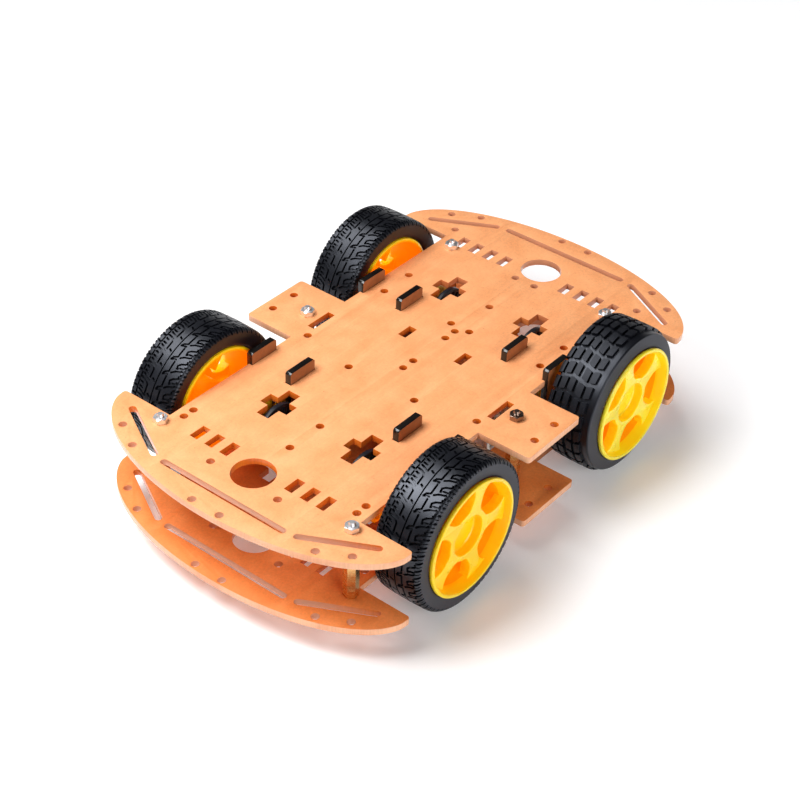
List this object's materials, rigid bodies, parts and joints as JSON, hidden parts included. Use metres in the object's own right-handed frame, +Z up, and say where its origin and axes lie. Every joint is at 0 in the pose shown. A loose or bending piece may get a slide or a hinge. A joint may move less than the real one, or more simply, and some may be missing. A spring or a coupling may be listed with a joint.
{
  "type": "four wheel robot chassis",
  "caption": "Two-deck acrylic rover chassis with geared hobby motors, encoder discs and tyred wheels, for carrying boards, batteries and sensors.",
  "frame": {"origin": "on the ground under the middle of the chassis, where the tyres stand", "axes": "+X to the front, +Y to the left, +Z up; the wheels turn about Y"},
  "size_m": [0.249, 0.1568, 0.066],
  "materials": {
    "kraft_covered_acrylic": "clear acrylic sheet still under matte kraft paper",
    "brass": "turned brass",
    "black_acrylic": "black acrylic, laser cut",
    "yellow_abs": "moulded, satin",
    "motor_steel": "drawn steel can",
    "white_nylon": "moulded nylon",
    "natural_nylon": "moulded nylon",
    "red_nylon": "moulded nylon",
    "crown_nylon": "moulded nylon",
    "rotor_steel": "laminated steel and brass",
    "encoder_black": "black plastic, glossy",
    "yellow_rim": "moulded, glossy",
    "tyre_rubber": "moulded rubber"
  },
  "bodies": {
    "chassis": {"upper_deck": "kraft_covered_acrylic", "lower_deck": "kraft_covered_acrylic", "standoff_front_left": "brass", "standoff_front_right": "brass", "standoff_middle_left": "brass", "standoff_middle_right": "brass", "standoff_rear_left": "brass", "standoff_rear_right": "brass", "bracket_inner_front_left": "black_acrylic", "bracket_outer_front_left": "black_acrylic", "gearbox_outer_half_front_left": "yellow_abs", "gearbox_inner_half_front_left": "yellow_abs", "motor_can_front_left": "motor_steel", "motor_end_cap_front_left": "white_nylon", "bracket_inner_front_right": "black_acrylic", "bracket_outer_front_right": "black_acrylic", "gearbox_outer_half_front_right": "yellow_abs", "gearbox_inner_half_front_right": "yellow_abs", "motor_can_front_right": "motor_steel", "motor_end_cap_front_right": "white_nylon", "bracket_inner_rear_left": "black_acrylic", "bracket_outer_rear_left": "black_acrylic", "gearbox_outer_half_rear_left": "yellow_abs", "gearbox_inner_half_rear_left": "yellow_abs", "motor_can_rear_left": "motor_steel", "motor_end_cap_rear_left": "white_nylon", "bracket_inner_rear_right": "black_acrylic", "bracket_outer_rear_right": "black_acrylic", "gearbox_outer_half_rear_right": "yellow_abs", "gearbox_inner_half_rear_right": "yellow_abs", "motor_can_rear_right": "motor_steel", "motor_end_cap_rear_right": "white_nylon"},
    "wheel_front_left": {"tyre_front_left": "tyre_rubber", "rim_front_left": "yellow_rim", "output_shaft_front_left": "natural_nylon", "encoder_disc_front_left": "encoder_black"},
    "idler_front_left": {"idler_gear_front_left": "red_nylon"},
    "crown_front_left": {"crown_gear_front_left": "crown_nylon"},
    "rotor_front_left": {"motor_rotor_front_left": "rotor_steel"},
    "wheel_front_right": {"tyre_front_right": "tyre_rubber", "rim_front_right": "yellow_rim", "output_shaft_front_right": "natural_nylon", "encoder_disc_front_right": "encoder_black"},
    "idler_front_right": {"idler_gear_front_right": "red_nylon"},
    "crown_front_right": {"crown_gear_front_right": "crown_nylon"},
    "rotor_front_right": {"motor_rotor_front_right": "rotor_steel"},
    "wheel_rear_left": {"tyre_rear_left": "tyre_rubber", "rim_rear_left": "yellow_rim", "output_shaft_rear_left": "natural_nylon", "encoder_disc_rear_left": "encoder_black"},
    "idler_rear_left": {"idler_gear_rear_left": "red_nylon"},
    "crown_rear_left": {"crown_gear_rear_left": "crown_nylon"},
    "rotor_rear_left": {"motor_rotor_rear_left": "rotor_steel"},
    "wheel_rear_right": {"tyre_rear_right": "tyre_rubber", "rim_rear_right": "yellow_rim", "output_shaft_rear_right": "natural_nylon", "encoder_disc_rear_right": "encoder_black"},
    "idler_rear_right": {"idler_gear_rear_right": "red_nylon"},
    "crown_rear_right": {"crown_gear_rear_right": "crown_nylon"},
    "rotor_rear_right": {"motor_rotor_rear_right": "rotor_steel"}
  },
  "joints": [
    {"name": "wheel_spin_front_left", "type": "hinge", "parent": "chassis", "child": "wheel_front_left", "pos_m": [0.0562, 0.0662, 0.033], "axis": [0, 1, 0], "continuous": true},
    {"name": "idler_spin_front_left", "type": "hinge", "parent": "chassis", "child": "idler_front_left", "pos_m": [0.04608, 0.0392, 0.033], "axis": [0, 1, 0], "continuous": true},
    {"name": "crown_spin_front_left", "type": "hinge", "parent": "chassis", "child": "crown_front_left", "pos_m": [0.03796, 0.0392, 0.033], "axis": [0, 1, 0], "continuous": true},
    {"name": "rotor_spin_front_left", "type": "hinge", "parent": "chassis", "child": "rotor_front_left", "pos_m": [0.0301, 0.0392, 0.033], "axis": [1, 0, 0], "continuous": true},
    {"name": "wheel_spin_front_right", "type": "hinge", "parent": "chassis", "child": "wheel_front_right", "pos_m": [0.0562, -0.0662, 0.033], "axis": [0, 1, 0], "continuous": true},
    {"name": "idler_spin_front_right", "type": "hinge", "parent": "chassis", "child": "idler_front_right", "pos_m": [0.04608, -0.0392, 0.033], "axis": [0, 1, 0], "continuous": true},
    {"name": "crown_spin_front_right", "type": "hinge", "parent": "chassis", "child": "crown_front_right", "pos_m": [0.03796, -0.0392, 0.033], "axis": [0, 1, 0], "continuous": true},
    {"name": "rotor_spin_front_right", "type": "hinge", "parent": "chassis", "child": "rotor_front_right", "pos_m": [0.0301, -0.0392, 0.033], "axis": [1, 0, 0], "continuous": true},
    {"name": "wheel_spin_rear_left", "type": "hinge", "parent": "chassis", "child": "wheel_rear_left", "pos_m": [-0.0562, 0.0662, 0.033], "axis": [0, 1, 0], "continuous": true},
    {"name": "idler_spin_rear_left", "type": "hinge", "parent": "chassis", "child": "idler_rear_left", "pos_m": [-0.04608, 0.0392, 0.033], "axis": [0, 1, 0], "continuous": true},
    {"name": "crown_spin_rear_left", "type": "hinge", "parent": "chassis", "child": "crown_rear_left", "pos_m": [-0.03796, 0.0392, 0.033], "axis": [0, 1, 0], "continuous": true},
    {"name": "rotor_spin_rear_left", "type": "hinge", "parent": "chassis", "child": "rotor_rear_left", "pos_m": [-0.0301, 0.0392, 0.033], "axis": [1, 0, 0], "continuous": true},
    {"name": "wheel_spin_rear_right", "type": "hinge", "parent": "chassis", "child": "wheel_rear_right", "pos_m": [-0.0562, -0.0662, 0.033], "axis": [0, 1, 0], "continuous": true},
    {"name": "idler_spin_rear_right", "type": "hinge", "parent": "chassis", "child": "idler_rear_right", "pos_m": [-0.04608, -0.0392, 0.033], "axis": [0, 1, 0], "continuous": true},
    {"name": "crown_spin_rear_right", "type": "hinge", "parent": "chassis", "child": "crown_rear_right", "pos_m": [-0.03796, -0.0392, 0.033], "axis": [0, 1, 0], "continuous": true},
    {"name": "rotor_spin_rear_right", "type": "hinge", "parent": "chassis", "child": "rotor_rear_right", "pos_m": [-0.0301, -0.0392, 0.033], "axis": [1, 0, 0], "continuous": true}
  ],
  "couplings": [
    {"joint": "idler_spin_front_left", "follows": "wheel_spin_front_left", "ratio": -4},
    {"joint": "crown_spin_front_left", "follows": "wheel_spin_front_left", "ratio": 16},
    {"joint": "rotor_spin_front_left", "follows": "wheel_spin_front_left", "ratio": -48},
    {"joint": "idler_spin_front_right", "follows": "wheel_spin_front_right", "ratio": -4},
    {"joint": "crown_spin_front_right", "follows": "wheel_spin_front_right", "ratio": 16},
    {"joint": "rotor_spin_front_right", "follows": "wheel_spin_front_right", "ratio": 48},
    {"joint": "idler_spin_rear_left", "follows": "wheel_spin_rear_left", "ratio": -4},
    {"joint": "crown_spin_rear_left", "follows": "wheel_spin_rear_left", "ratio": 16},
    {"joint": "rotor_spin_rear_left", "follows": "wheel_spin_rear_left", "ratio": 48},
    {"joint": "idler_spin_rear_right", "follows": "wheel_spin_rear_right", "ratio": -4},
    {"joint": "crown_spin_rear_right", "follows": "wheel_spin_rear_right", "ratio": 16},
    {"joint": "rotor_spin_rear_right", "follows": "wheel_spin_rear_right", "ratio": -48}
  ]
}
